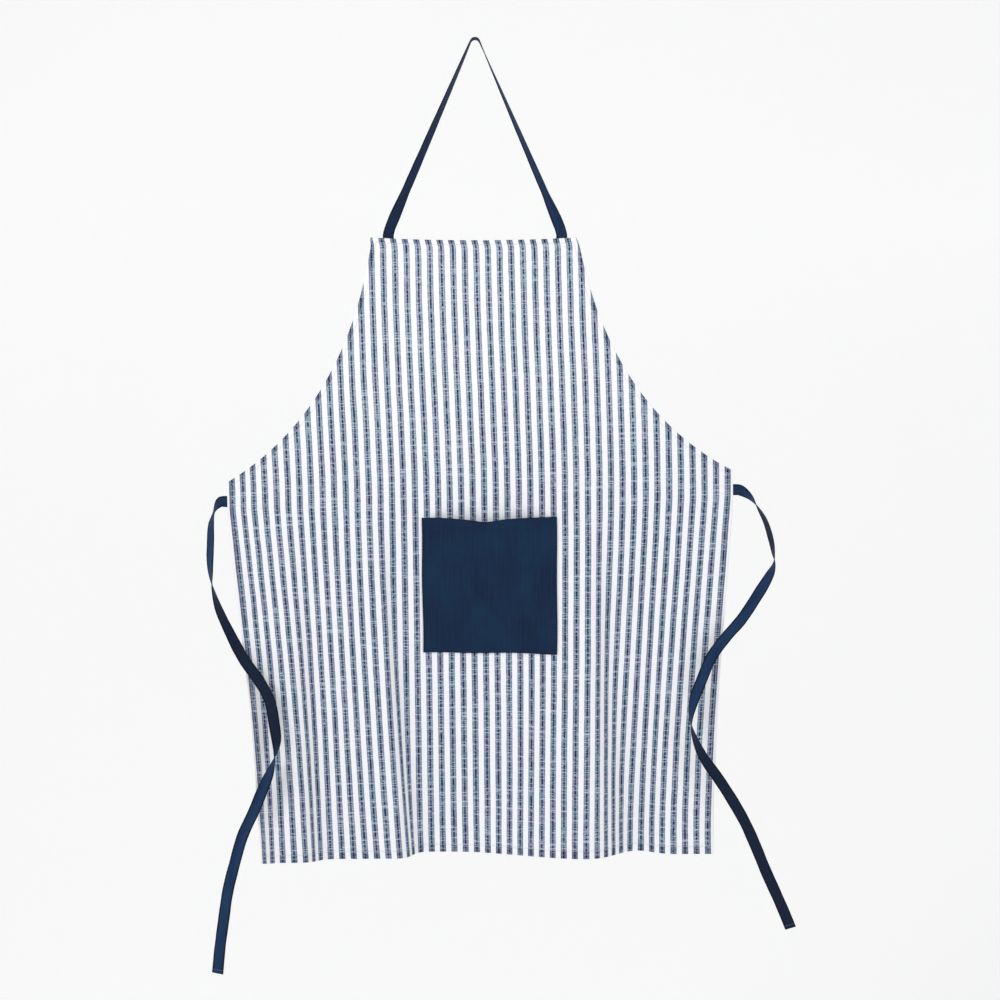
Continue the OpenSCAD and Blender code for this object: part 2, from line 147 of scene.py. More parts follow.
# the right armhole's edge, from the bib's corner to the side: places, directions, outward sides
ARM_K = np.linspace(0, 1, 97)
ARM_T = arm(ARM_K, 0, 150, 262, 324)
ARM_U = HALF_BIB + arm(ARM_K, 0, 25, 92, 204)
ARM_DIR = np.stack([np.gradient(ARM_U), np.gradient(ARM_T)], 1)
ARM_DIR /= np.linalg.norm(ARM_DIR, axis=1)[:, None]
ARM_OUT = np.stack([ARM_DIR[:, 1], -ARM_DIR[:, 0]], 1)


def half_inset(q, t):
    """Half width of the cloth at t, inside a line that runs q inside the outline."""
    line = np.stack([ARM_U, ARM_T], 1) - q * ARM_OUT
    line = np.concatenate([[line[0] - 40 * ARM_DIR[0]], line, [line[-1] + 40 * ARM_DIR[-1]]])
    return np.minimum(np.interp(t, line[:, 1], line[:, 0]), HALF_W - q)


def edge_distance(u, t):
    """Distance of (u, t) inside the armhole or the side edge, near enough."""
    w = np.interp(t, ARM_T, ARM_U)
    lean = np.where(t < ARMHOLE_H, np.interp(t, ARM_T, ARM_OUT[:, 0]), 1.0)
    return (np.where(t < ARMHOLE_H, w, HALF_W) - np.abs(u)) * lean


def waves(table, a, b):
    """Sum of the table's sine waves: height, length along a, length along b, phase."""
    return sum(high * np.sin(a / far_a + b / far_b + phase) for high, far_a, far_b, phase in table)


RIPPLES = [(0.20, 17.0, 71.0, 0.4), (0.16, 11.3, -57.0, 2.1), (0.30, 26.0, 160.0, 4.0),
           (0.14, 31.0, 19.0, 1.0), (0.12, 23.0, -14.0, 0.0)]


def ripple(u, t):
    """Shallow unevenness of soft cloth, none at its edges."""
    inside = smooth((np.minimum(np.minimum(edge_distance(u, t), t), BODY_LEN - t) - 10) / 40)
    low = smooth((t - 200) / 450)
    return inside * waves(RIPPLES, u, t) * (0.55 + 0.9 * low)


def drawn_in(u, t):
    """How far both sides of the skirt are drawn to the middle, most at half its height."""
    s = skirt_share(t)
    side = smooth((np.abs(u) / HALF_W - DRAW_FROM) / (1 - DRAW_FROM))
    return np.where(u < 0, LEFT_DRAW, -RIGHT_DRAW) * 4 * s * (1 - s) * side


def surf(u, t):
    """Middle of the cloth at (u, t), in mm."""
    u, t = np.broadcast_arrays(np.asarray(u, float), np.asarray(t, float))
    y, x = -forward(u, t), across(u, t)
    lift = (y * y + (x - u) ** 2) / (2 * np.maximum(1, t - FOLD_START))
    sag = BIB_SAG * (1 - (2 * u / LOOP_SPREAD) ** 2) * np.clip(1 - t / BIB_SAG_LEN, 0, 1)
    pull = TOP_PULL * smooth(1 - t / TOP_PULL_LEN)
    side = x + drawn_in(u, t) + np.interp(t, *DRIFT) + pull
    height = -LOOP_DROP - t + np.interp(t, *TILT) * u + lift - sag
    return np.stack([side, y + ripple(u, t), height], -1)


def shifted(points, dy):
    """The points moved back by dy."""
    out = np.array(points, float)
    out[..., 1] += dy
    return out


# ---- meshes ----------------------------------------------------------------------------------
def quads_of(rows, cols, first=0, flip=False, closed=False):
    """Faces of a grid of points. closed joins the last column to the first one."""
    i, j = np.meshgrid(np.arange(rows - 1), np.arange(cols if closed else cols - 1), indexing="ij")
    k = (j + 1) % cols
    corners = [i * cols + j, i * cols + k, (i + 1) * cols + k, (i + 1) * cols + j]
    q = np.stack(corners, -1).reshape(-1, 4)
    return first + (q[:, ::-1] if flip else q)


def make(name, points, faces, cloth, material, slot=None, face_materials=None):
    """A mesh in metres from points in mm. cloth holds each point's place on the flat cloth."""
    mesh = bpy.data.meshes.new(name)
    mesh.from_pydata((np.asarray(points) * MM).tolist(), [], [list(map(int, f)) for f in faces])
    if cloth is not None:
        layer = mesh.attributes.new("cloth", "FLOAT_VECTOR", "POINT")
        layer.data.foreach_set("vector", np.asarray(cloth, np.float32).ravel())
    mesh.polygons.foreach_set("use_smooth", [True] * len(mesh.polygons))
    for m in material if isinstance(material, list) else [material]:
        mesh.materials.append(m)
    if face_materials is not None:
        mesh.polygons.foreach_set("material_index", face_materials)
    mesh.update()
    ob = bpy.data.objects.new(name, mesh)
    bpy.context.collection.objects.link(ob)
    return ob


# ---- materials -------------------------------------------------------------------------------
def srgb(code):
    """Linear colour, with alpha, from a web colour."""
    c = [int(code[i:i + 2], 16) / 255 for i in (1, 3, 5)]
    return [v / 12.92 if v <= 0.04045 else ((v + 0.055) / 1.055) ** 2.4 for v in c] + [1.0]


class Paint:
    """A material whose nodes are added one by one."""

    def __init__(self, name, roughness, sheen, tint):
        self.mat = bpy.data.materials.new(name)
        self.mat.use_nodes = True
        self.tree = self.mat.node_tree
        self.tree.nodes.clear()
        out = self.add("ShaderNodeOutputMaterial")
        self.shader = self.add("ShaderNodeBsdfPrincipled")
        self.link(self.shader.outputs[0], out.inputs[0])
        self.shader.inputs["Roughness"].default_value = roughness
        self.shader.inputs["Specular IOR Level"].default_value = 0.18
        self.shader.inputs["Sheen Weight"].default_value = sheen
        self.shader.inputs["Sheen Roughness"].default_value = 0.5
        self.shader.inputs["Sheen Tint"].default_value = tint

    def add(self, kind, **settings):
        node = self.tree.nodes.new(kind)
        for key, value in settings.items():
            setattr(node, key, value)
        return node

    def link(self, a, b):
        self.tree.links.new(a, b)

    def give(self, socket, value):
        """Links the socket to an output, or sets its plain value."""
        if hasattr(value, "is_linked"):
            self.link(value, socket)
        else:
            socket.default_value = value

    def math(self, kind, *values):
        node = self.add("ShaderNodeMath", operation=kind)
        for socket, value in zip(node.inputs, values):
            self.give(socket, value)
        return node.outputs[0]

    def plus(self, a, b):
        return self.math("ADD", a, b)

    def minus(self, a, b):
        return self.math("SUBTRACT", a, b)

    def times(self, a, b):
        return self.math("MULTIPLY", a, b)

    def over(self, a, b):
        return self.math("DIVIDE", a, b)

    def size_of(self, a):
        return self.math("ABSOLUTE", a)

    def between(self, value, lo, hi, to_lo=0.0, to_hi=1.0):
        """Moves smoothly from to_lo to to_hi as value goes from lo to hi."""
        node = self.add("ShaderNodeMapRange", interpolation_type="SMOOTHSTEP")
        for socket, v in zip(node.inputs, (value, lo, hi, to_lo, to_hi)):
            self.give(socket, v)
        return node.outputs[0]

    def mix(self, share, a, b, kind="MIX"):
        node = self.add("ShaderNodeMix", data_type="RGBA", blend_type=kind)
        for i, v in ((0, share), (6, a), (7, b)):
            self.give(node.inputs[i], v)
        return node.outputs[2]

    def place(self):
        """The three cloth coordinates that the mesh carries."""
        node = self.add("ShaderNodeAttribute", attribute_name="cloth", attribute_type="GEOMETRY")
        parts = self.add("ShaderNodeSeparateXYZ")
        self.link(node.outputs["Vector"], parts.inputs[0])
        return parts.outputs[0], parts.outputs[1], parts.outputs[2]

    def noise(self, x, y, z, wide, tall, detail=2.0, rough=0.5):
        """Noise with spots of wide by tall mm. z picks another pattern."""
        at = self.add("ShaderNodeCombineXYZ")
        self.give(at.inputs[0], self.over(x, wide))
        self.give(at.inputs[1], self.over(y, tall))
        self.give(at.inputs[2], z)
        node = self.add("ShaderNodeTexNoise", noise_dimensions="3D")
        self.link(at.outputs[0], node.inputs["Vector"])
        node.inputs["Scale"].default_value = 1.0
        node.inputs["Detail"].default_value = detail
        node.inputs["Roughness"].default_value = rough
        return node.outputs[0]

    def wave(self, value, pitch):
        return self.math("SINE", self.times(value, 2 * math.pi / pitch))

    def seam(self, q, middle, near, far):
        """1 on the line of stitches at q = middle, falling to 0 between near and far from it."""
        return self.minus(1.0, self.between(self.size_of(self.minus(q, middle)), near, far))

    def finish(self, colour, height, rough, size):
        """Connects colour, relief of size mm and roughness, and returns the material."""
        self.link(colour, self.shader.inputs["Base Color"])
        self.link(rough, self.shader.inputs["Roughness"])
        bump = self.add("ShaderNodeBump")
        bump.inputs["Strength"].default_value = 1.0
        bump.inputs["Distance"].default_value = size * MM
        self.link(height, bump.inputs["Height"])
        self.link(bump.outputs[0], self.shader.inputs["Normal"])
        return self.mat


# the ticking's stripe in mm: the distances from its middle at which each part starts and ends
STRIPE_BAND, STRIPE_RIM, STRIPE_CORE = (4.35, 4.00), (2.9, 3.3), (1.45, 0.90)
BIB_PITCH, SKIRT_PITCH, BIB_SHIFT, SKIRT_SHIFT = 15.84, 15.66, -14.5, -10.1


def striped_cloth():
    p = Paint("striped_cloth", 0.85, 0.08, (1, 1, 1, 1))
    u, t, q = p.place()
    # the warp lines wander a little
    wander = p.times(p.minus(p.noise(u, t, 3.1, 40, 55), 0.5), 1.1)
    u1 = p.plus(u, wander)
    # the stripes lean a little on the bib, stand a little wider there, and shift at both sides
    shift = p.between(t, 60, 360, BIB_SHIFT, SKIRT_SHIFT)
    shift = p.plus(shift, p.plus(p.between(u, 210, 320, 0, 1.6), p.between(u, -300, -338, 0, 2.6)))
    pitch = p.between(t, 150, 400, BIB_PITCH, SKIRT_PITCH)
    s = p.over(p.minus(u1, shift), pitch)
    row = p.math("ROUND", s)
    d = p.times(p.size_of(p.minus(s, row)), pitch)
    fine = p.noise(u, t, 9.7, 0.8, 2.2, 1.0)
    d1 = p.plus(d, p.times(p.minus(fine, 0.5), 0.28))
    band = p.between(d1, *STRIPE_BAND)
    rim = p.times(p.between(d1, *STRIPE_RIM), band)
    core = p.between(d1, *STRIPE_CORE)
    # dashes of the dark core, different in each stripe
    own = p.times(row, 17.31)
    dash = p.noise(own, t, 1.7, 1.0, 6.0, 1.0, 0.5)
    long = p.noise(own, t, 5.3, 1.0, 24.0, 1.0)
    dark = p.between(p.plus(dash, p.times(long, 0.45)), 0.46, 0.64, 0.22, 1.0)
    core = p.times(core, dark)
    rim = p.times(rim, p.between(p.noise(own, t, 7.9, 1.0, 7.0, 2.0), 0.35, 0.62, 0.45, 1.0))
    # pale slubs of the weft that cross the stripes
    slub = p.between(p.noise(u, t, 4.2, 9.0, 1.5, 2.0, 0.6), 0.54, 0.68)
    thick = p.between(p.noise(u, t, 8.8, 60.0, 2.1, 1.0), 0.58, 0.68)
    slub = p.math("MAXIMUM", slub, p.times(thick, 0.9))
    blot = p.between(p.noise(u, t, 12.4, 2.4, 3.4, 2.0, 0.6), 0.42, 0.66)
    # slow change of the blue along each stripe
    hue = p.noise(own, t, 2.6, 1.0, 30.0, 2.0)
    tint = p.between(hue, 0.35, 0.65)
    # painted light: the bib is painted lighter and the skirt darker, as light falls from above; in
    # the pale blue part of this step is the bib's own paler tone
    skirt_shade_and_tone = p.between(t, 150, 420)
    bib_blue = p.mix(tint, srgb("#b6bdd6"), srgb("#aac1d3"))
    skirt_blue = p.mix(tint, srgb("#9499b4"), srgb("#8a9fb2"))
    pale = p.mix(skirt_shade_and_tone, bib_blue, skirt_blue)
    rimmed = p.mix(tint, srgb("#545c7c"), srgb("#486278"))
    navy = p.mix(tint, srgb("#121a42"), srgb("#0a2748"))
    warp = p.wave(u1, 1.35)
    weft = p.wave(t, 0.95)
    blue = p.mix(p.times(rim, 0.85), pale, rimmed)
    threads = p.times(p.between(p.wave(u1, 2.1), -0.5, 0.9), 0.18)
    blue = p.mix(p.plus(threads, p.times(blot, 0.42)), blue, rimmed)
    blue = p.mix(core, blue, navy)
    blue = p.mix(p.times(slub, 0.62), blue, srgb("#d3dceb"))
    # painted shade: the white is painted darker on the skirt than on the bib
    white = p.mix(skirt_shade_and_tone, srgb("#fefefe"), srgb("#f6f7fa"))
    shade = p.between(p.noise(u, t, 6.6, 7.0, 1.6, 2.0), 0.5, 0.8, 0.0, 0.6)
    white = p.mix(shade, white, srgb("#e8edf4"))
    colour = p.mix(band, white, blue)
    # doubled cloth in the hems is denser
    hem = p.between(q, 7.6, 6.2)
    colour = p.mix(p.times(hem, p.times(band, 0.75)), colour, srgb("#aeb2c4"), "MULTIPLY")
    seam = p.seam(q, SIDE_HEM - STITCH_INSET, 0.2, 1.1)
    # painted shade along the groove of the line of stitches
    colour = p.mix(p.times(seam, 0.05), colour, srgb("#8a8fa6"))
    weave = p.times(p.plus(warp, weft), 0.16)
    pucker = p.times(p.noise(u, t, 0.3, 4.5, 4.5, 1.0), p.between(q, 9.5, 6.0))
    height = p.plus(weave, p.times(p.noise(u, t, 1.1, 3.0, 1.1, 3.0), 0.7))
    height = p.plus(height, p.times(slub, 0.35))
    height = p.plus(height, p.times(pucker, 2.2))
    height = p.minus(height, p.times(seam, 0.7))
    rough = p.between(fine, 0.2, 0.8, 0.78, 0.92)
    return p.finish(colour, height, rough, 0.12)


def navy_canvas():
    p = Paint("navy_canvas", 0.8, 0.12, srgb("#6f8bb0"))
    a, d, q = p.place()
    streak = p.noise(a, d, 2.0, 1.4, 60.0, 2.0)
    cloud = p.noise(a, d, 5.0, 44.0, 60.0, 3.0)
    fine = p.noise(a, d, 8.0, 0.9, 0.9, 2.0)
    base = p.mix(p.between(cloud, 0.3, 0.7), srgb("#0a213f"), srgb("#0a2f4c"))
    base = p.mix(p.between(streak, 0.4, 0.7, 0.0, 0.45), base, srgb("#1b3654"))
    base = p.mix(p.between(fine, 0.35, 0.8, 0.0, 0.35), base, srgb("#081834"))
    warp = p.wave(a, 1.1)
    weft = p.wave(d, 1.0)
    cross = p.times(warp, weft)
    base = p.mix(p.between(cross, -1.0, 1.0, 0.0, 0.22), base, srgb("#07142c"))
    # painted shade: the canvas is painted darker along the pocket's folded outline
    edge = p.between(q, 1.9, 0.7)
    base = p.mix(p.times(edge, 0.8), base, srgb("#050a20"))
    seam = p.seam(q, POCKET_MARGIN / 2, 0.3, 1.3)
    height = p.plus(p.times(cross, 0.35), p.times(fine, 0.6))
    crumple = p.times(p.noise(a, d, 3.0, 6.0, 6.0, 2.0), p.between(q, 8.0, 3.0, 0.4, 2.5))
    height = p.minus(p.plus(height, crumple), seam)
    return p.finish(base, height, p.between(fine, 0.2, 0.8, 0.7, 0.88), 0.16)


def navy_tape():
    p = Paint("navy_tape", 0.7, 0.18, srgb("#5f80b8"))
    w, along, back = p.place()
    twill = p.wave(p.plus(along, p.times(p.size_of(w), 0.9)), 1.25)
    rib = p.wave(w, 1.0)
    fine = p.noise(w, along, 3.0, 0.8, 1.2, 2.0)
    slow = p.noise(w, along, 6.0, 9.0, 45.0, 2.0)
    base = p.mix(p.between(slow, 0.3, 0.7), srgb("#112c52"), srgb("#1a3a60"))
    # painted shade: one face of the tape is painted darker, as a face turned from the light, and
    # partly as a darker back
    base = p.mix(back, base, srgb("#0b1730"))
    base = p.mix(p.between(twill, -0.6, 1.0, 0.0, 0.35), base, srgb("#071228"))
    base = p.mix(p.between(fine, 0.4, 0.8, 0.0, 0.2), base, srgb("#27456e"))
    # painted shade along both edges of the tape, where its rounded edges turn from the light
    edge_shade = p.between(p.size_of(w), TAPE_W / 2 - 2.6, TAPE_W / 2 - 1.2)
    base = p.mix(p.times(edge_shade, 0.9), base, srgb("#04070f"))
    height = p.plus(p.times(twill, 0.6), p.times(rib, 0.2))
    height = p.plus(height, p.times(fine, 0.5))
    return p.finish(base, height, p.between(fine, 0.2, 0.8, 0.6, 0.8), 0.12)


def thread(name, dark, light, tint):
    p = Paint(name, 0.6, 0.1, tint)
    side, along, own = p.place()
    ply = p.wave(p.plus(along, p.times(side, 0.45)), 0.55)
    fibre = p.noise(side, along, own, 0.3, 0.7, 2.0)
    base = p.mix(p.between(ply, -0.8, 0.8), dark, light)
    base = p.mix(p.between(fibre, 0.3, 0.8, 0.0, 0.4), base, dark)
    height = p.plus(ply, p.times(fibre, 0.5))
    return p.finish(base, height, p.between(fibre, 0.2, 0.8, 0.5, 0.75), 0.05)


STRIPED = striped_cloth()
CANVAS = navy_canvas()
TAPE = navy_tape()
WHITE_THREAD = thread("white_thread", srgb("#cfd3da"), srgb("#f6f7f9"), (1, 1, 1, 1))
NAVY_THREAD = thread("navy_thread", srgb("#0d1a36"), srgb("#263f68"), srgb("#6f8bb0"))
PALE_THREAD = thread("pale_thread", srgb("#5d7896"), srgb("#a9bdd2"), (1, 1, 1, 1))


# ---- tapes -----------------------------------------------------------------------------------
def unit(v):
    v = np.asarray(v, float)
    return v / np.linalg.norm(v, axis=-1, keepdims=True)


def gaps(line):
    """Distances from each point of a line to the next."""
    return np.linalg.norm(np.diff(line[:, :3], axis=0), axis=1)


def run_of(line):
    """Distance of each point of a line from its start, along it."""
    return np.concatenate([[0], np.cumsum(gaps(line))])


def spline(points, step):
    """Points every step mm on a smooth curve through the given ones, a row of values each."""
    p = np.asarray(points, float)
    gap, at = gaps(p), run_of(p)
    slope = np.zeros_like(p)
    slope[1:-1] = (p[2:] - p[:-2]) / (at[2:] - at[:-2])[:, None]
    slope[0], slope[-1] = (p[1] - p[0]) / gap[0], (p[-1] - p[-2]) / gap[-1]
    n = max(2, int(round(at[-1] / step)) + 1)
    s = np.linspace(0, at[-1], n)
    k = np.clip(np.searchsorted(at, s, side="right") - 1, 0, len(gap) - 1)
    h, f = gap[k][:, None], ((s - at[k]) / gap[k])[:, None]
    return ((2 * f ** 3 - 3 * f ** 2 + 1) * p[k] + (f ** 3 - 2 * f ** 2 + f) * h * slope[k]
            + (3 * f ** 2 - 2 * f ** 3) * p[k + 1] + (f ** 3 - f ** 2) * h * slope[k + 1])


def tape_frames(line):
    """Directions along, across and through the tape at each point of its line."""
    direction = unit(np.gradient(line[:, :3], axis=0))
    n = unit(np.stack([direction[:, 2], np.zeros(len(line)), -direction[:, 0]], 1))
    b = np.cross(direction, n)
    turn = np.radians(line[:, 3])[:, None]
    wide = np.cos(turn) * n + np.sin(turn) * b
    return direction, wide, np.cross(direction, wide)


# half outline of the tape's section: across and thick, from one selvage over the face, both as
# shares of the tape's half sizes
SECTION = [(-1.0, 0.0), (-0.985, 0.62), (-0.94, 0.96), (-0.87, 1.0), (-0.78, 0.90), (-0.5, 0.93),
           (0.0, 0.97), (0.5, 0.93), (0.78, 0.90), (0.87, 1.0), (0.94, 0.96), (0.985, 0.62)]
SECTION = np.array(SECTION + [(-a, -b) for a, b in SECTION])
TURNED_PLY = 0.55  # how much thicker, as a share, the tape is where its end is turned over
END_TAKE = 12  # length in mm at each end over which a slanted cut pulls the tape
BACK_TAKE = 40  # mm by which the weave of the tape's back is another than its face's


def tape(name, line, slot, ends=(0.0, 0.0), slants=(0.0, 0.0), face_shades=(1.0, 0.0)):
    """A tape along line, whose values are x, y, z and the turn about its own length in degrees.
    ends gives the length at each end over which it is folded double, slants its cut, and face_shades
    how dark its two faces are painted: painted shade for a face turned from the light, and partly
    a darker back face."""
    at = run_of(line)
    total = at[-1]
    direction, wide, thick = tape_frames(line)
    n, m = len(line), len(SECTION)
    double = np.ones(n)
    if ends[0]:
        double += TURNED_PLY * smooth((ends[0] - at) / 1.5)
    if ends[1]:
        double += TURNED_PLY * smooth((at - total + ends[1]) / 1.5)
    jitter = 0.10 * np.sin(at / 9.0) + 0.07 * np.sin(at / 4.3 + 1.0)
    half = TAPE_W / 2 + jitter
    w = SECTION[:, 0][None] * half[:, None]
    h = SECTION[:, 1][None] * (TAPE_TH / 2) * double[:, None]
    near = (np.clip(1 - at / END_TAKE, 0, 1) * slants[0]
            + np.clip(1 - (total - at) / END_TAKE, 0, 1) * slants[1])
    points = (line[:, None, :3] + w[..., None] * wide[:, None] + h[..., None] * thick[:, None]
              + (w * near[:, None])[..., None] * direction[:, None])
    along = np.repeat(at[:, None], m, 1) + BACK_TAKE * (SECTION[:, 1][None] < 0)
    # the third cloth value is the painted shade of each face
    cloth = np.stack([w, along, np.where(h < 0, face_shades[1], face_shades[0])], -1)
    points, cloth = points.reshape(-1, 3), cloth.reshape(-1, 3)
    faces = [tuple(f) for f in quads_of(n, m, closed=True)]
    # each end: a slightly smaller ring a little further out, filled with faces
    for ring, sign in ((0, -1), (n - 1, 1)):
        first = ring * m
        c = points[first:first + m].mean(0)
        inner = len(points)
        cap = c + (points[first:first + m] - c) * 0.985 + direction[ring] * sign * 0.35
        points = np.concatenate([points, cap])
        cloth = np.concatenate([cloth, cloth[first:first + m] + [0, sign * 0.4, 0]])
        for j in range(m):
            k = (j + 1) % m
            face = (first + j, first + k, inner + k, inner + j)
            faces.append(face if sign > 0 else face[::-1])
        for j in range(1, m // 2):
            a, b = inner + j, inner + j + 1
            far_b, far_a = inner + m - j - 1, inner + m - j
            face = (a, b, far_b, far_a) if b != far_b else (a, b, far_a)
            faces.append(face if sign > 0 else face[::-1])
        face = (inner, inner + 1, inner + m - 1)
        faces.append(face if sign > 0 else face[::-1])
    return make(name, points, faces, cloth, TAPE, slot)


def tie_points(side, route):
    """The seam's place, and the tie's rows from its sewn end along its route."""
    seam = surf(side * HALF_W, TIE_T)
    seam = np.array([seam[0], TAPE_Y, seam[2]])
    tab = [(-side * x, 0, 0, 0) for x in (TAB_LEN, TAB_LEN * 0.6, 10, 4, -1.5)]
    rows = np.array(tab + list(route), float)
    rows[:, :3] += seam
    return seam, rows


TIE_STEP, LOOP_STEP = 2.5, 1.8  # mm between the tapes' rings of points
TIE_TURNED, TIE_SLANT = 8.5, 0.10  # length of a tie's turned end, and the slant of its cut
ties = []
for side, word, route in ((-1, "left", LEFT_ROUTE), (1, "right", RIGHT_ROUTE)):
    seam, rows = tie_points(side, route)
    line = spline(rows, TIE_STEP)
    ob = tape(f"tie_{word}_tape", line, "navy_tape",
              ends=(0, TIE_TURNED), slants=(0, TIE_SLANT * side))
    length = float(gaps(line).sum())
    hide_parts(f"tie_{word}", f"tie_tab_{word}")
    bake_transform(ob)
    ties.append((word, side, seam, line))

# half of the neck loop, from its sewn end to its top: x, z and the turn about its length
LEG_PARTS, TOP_PARTS = 9, 4
LEG_START = [(3.5, 12), (8.5, 24)]  # inward and up from the bend, to where the leg is straight
LEG_TURNS = ([0, 0.12, 0.5, 1], [15, 45, 62, 88])  # shares of the leg, and the turns there
leg_x = LOOP_SPREAD / 2
leg_end = BEND_LEN - LOOP_DROP + BEND_GAP
bend_r = PEG_R + TAPE_TH / 2
lean = math.atan(leg_x / (LOOP_DROP - PEG_R))
foot = (leg_x - LEG_START[-1][0], leg_end + LEG_START[-1][1])
top = (bend_r * math.cos(lean), -PEG_R + bend_r * math.sin(lean))
sewn_z = [-LOOP_DROP - down for down in (TAB_LEN, 16, 6, -1)]
half_loop = [(leg_x, z, 0.0) for z in sewn_z + [leg_end]]
half_loop += [(leg_x - LEG_START[0][0], leg_end + LEG_START[0][1], 0.0)]
for k in range(1, LEG_PARTS):
    f = k / LEG_PARTS
    at_x, at_z = foot[0] + (top[0] - foot[0]) * f, foot[1] + (top[1] - foot[1]) * f
    half_loop.append((at_x, at_z, float(np.interp(f, *LEG_TURNS))))
for k in range(TOP_PARTS):  # round the peg
    a = lean + (math.pi / 2 - lean) * k / TOP_PARTS
    half_loop.append((bend_r * math.cos(a), -PEG_R + bend_r * math.sin(a), 90.0))
loop_rows = [(-x, TAPE_Y * (1 - w / 90), z, w) for x, z, w in half_loop]
loop_rows += [(0, 0, bend_r - PEG_R, 90)]
loop_rows += [(x, TAPE_Y * (1 - w / 90), z, 180 - w) for x, z, w in reversed(half_loop)]
loop_line = spline(loop_rows, LOOP_STEP)
# the loop's two faces carry painted shade of these strengths
neck = tape("neck_loop_tape", loop_line, "navy_tape", face_shades=(0.2, 0.6))
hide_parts("neck_strap", "neck_tab_left", "neck_tab_right")
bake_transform(neck)
loop_length = float(gaps(loop_line).sum())


# ---- hemmed sheets ---------------------------------------------------------------------------
BEHIND_INSET = 3.0  # inset given to a hem's back, so that it looks like doubled cloth
# where the single cloth starts behind a hem, and its place on the flat cloth there, as shares of
# the hem's width
PAST_HEM, UNDER_HEM = 1.03, 1.1


def rim_of(rows, cols):
    """Rows and columns of a grid's outermost points, once around."""
    right, down = np.arange(cols - 1), np.arange(rows - 1)
    i = np.concatenate([0 * right, down, 0 * right + rows - 1, down[::-1] + 1])
    j = np.concatenate([right, 0 * down + cols - 1, right[::-1] + 1, 0 * down])
    return i, j


def hemmed(u, t, out, inward, place, plies, ply, inset, beyond):
    """Points, faces and cloth coordinates of a sheet with hems turned to its back.
    u, t: the front's grid, which ends at the start of the rounded edge. out: each grid point's
    step to the outline, and inward its step to the hem's inner edge. place(u, t, depth) gives
    points, with depth 0 on the front face. plies counts the plies in a hem, inset is each grid
    point's distance inside the outline, and beyond adds to it for the parts behind."""
    rows, cols = u.shape
    front = place(u, t, 0.0)
    points = [front.reshape(-1, 3)]
    cloth = [np.stack([u, t, inset], -1).reshape(-1, 3)]
    faces = [quads_of(rows, cols, flip=True)]
    i, j = rim_of(rows, cols)
    around = len(i)
    u0, t0, o, h = u[i, j], t[i, j], out[i, j], inward[i, j]
    deep = plies * ply
    r = deep / 2
    loops = []
    for degrees in (-60, -30, 0, 30, 60, 90):  # the rounded edge
        a = math.radians(degrees)
        k = math.cos(a)
        travel = a + math.pi / 2
        loops.append((u0 + o[:, 0] * k, t0 + o[:, 1] * k, r + r * math.sin(a),
                      u0 + o[:, 0] * travel, t0 + o[:, 1] * travel, r * (1 - k)))
    for share in (0.35, 0.7, 0.93, 1.0):
        # the hem lies flat, then its folded inner edge rounds down
        drop = 0.0 if share < 0.95 else 0.55
        loops.append((u0 - h[:, 0] * share, t0 - h[:, 1] * share, deep - drop,
                      u0 + o[:, 0] * math.pi + h[:, 0] * share,
                      t0 + o[:, 1] * math.pi + h[:, 1] * share, BEHIND_INSET))
    loops.append((u0 - h[:, 0] * PAST_HEM, t0 - h[:, 1] * PAST_HEM, ply * 1.02,
                  u0 + o[:, 0] * math.pi + h[:, 0] * UNDER_HEM,
                  t0 + o[:, 1] * math.pi + h[:, 1] * UNDER_HEM, BEHIND_INSET))
    first = rows * cols
    edge = i * cols + j
    before = edge
    for lu, lt, depth, cu, ct, at in loops:
        points.append(place(lu, lt, np.full(around, depth)))
        cloth.append(np.stack([cu, ct, np.full(around, at)], -1))
        ring = first + np.arange(around)
        faces.append(np.stack([before, ring, np.roll(ring, -1), np.roll(before, -1)], 1)[:, ::-1])
        before = ring
        first += around
    behind = first + edge
    faces.append(np.stack([before, behind, np.roll(behind, -1), np.roll(before, -1)], 1)[:, ::-1])
    bu, bt = u - inward[..., 0] * PAST_HEM, t - inward[..., 1] * PAST_HEM
    points.append(place(bu, bt, ply).reshape(-1, 3))
    cloth.append(np.stack([bu, bt, np.full(bu.shape, beyond)], -1).reshape(-1, 3))
    faces.append(quads_of(rows, cols, first=first))
    return np.concatenate(points), np.concatenate(faces), np.concatenate(cloth)


def fade(distance, reach):
    """1 at distance 0, falling to 0 at reach."""
    return 1 - smooth(distance / reach)


def corner_row(q):
    """Where the armhole meets the side, on the line that runs q inside the outline."""
    return ARMHOLE_H + q * (1 - ARM_OUT[-1, 0]) / -ARM_OUT[-1, 1]


# the panel, with rows and columns of its grid, close together along the hems
EDGE_R = 1.5 * CLOTH
RIM = 20.0  # width of the strip inside the outline whose columns follow it
HEM_REACH = 40  # distance over which a hem's direction fades into the cloth
NO_HEM = 99.0  # inset of a point that is on no hem, and of the panel's back
INSETS = np.array([EDGE_R, 2.5, 4.5, 5.6, 6.5, 7.4, 9.0, 13.0, RIM])
LOW_INSETS = np.array([RIM, 15.0, 12.4, 11.4, 10.5, 9.6, 7.5, 4.0, EDGE_R])
corner_t = corner_row(EDGE_R)
upper = np.linspace(RIM, corner_t, 66)[1:-1]
lower = np.linspace(corner_t, BODY_LEN - RIM, 100)[1:-1]
t_rows = np.concatenate([INSETS, upper, [corner_t], lower, BODY_LEN - LOW_INSETS])
inner_cols = np.linspace(-1, 1, 143)[1:-1]
half_inner = half_inset(RIM, t_rows)
left = [-half_inset(q, t_rows) for q in INSETS]
mid = [half_inner * c for c in inner_cols]
right = [-x for x in left[::-1]]
u_grid = np.stack(left + mid + right, 1)
t_grid = np.repeat(t_rows[:, None], u_grid.shape[1], 1)
side_out = np.stack([np.interp(t_rows, ARM_T, ARM_OUT[:, k]) for k in (0, 1)], 1)
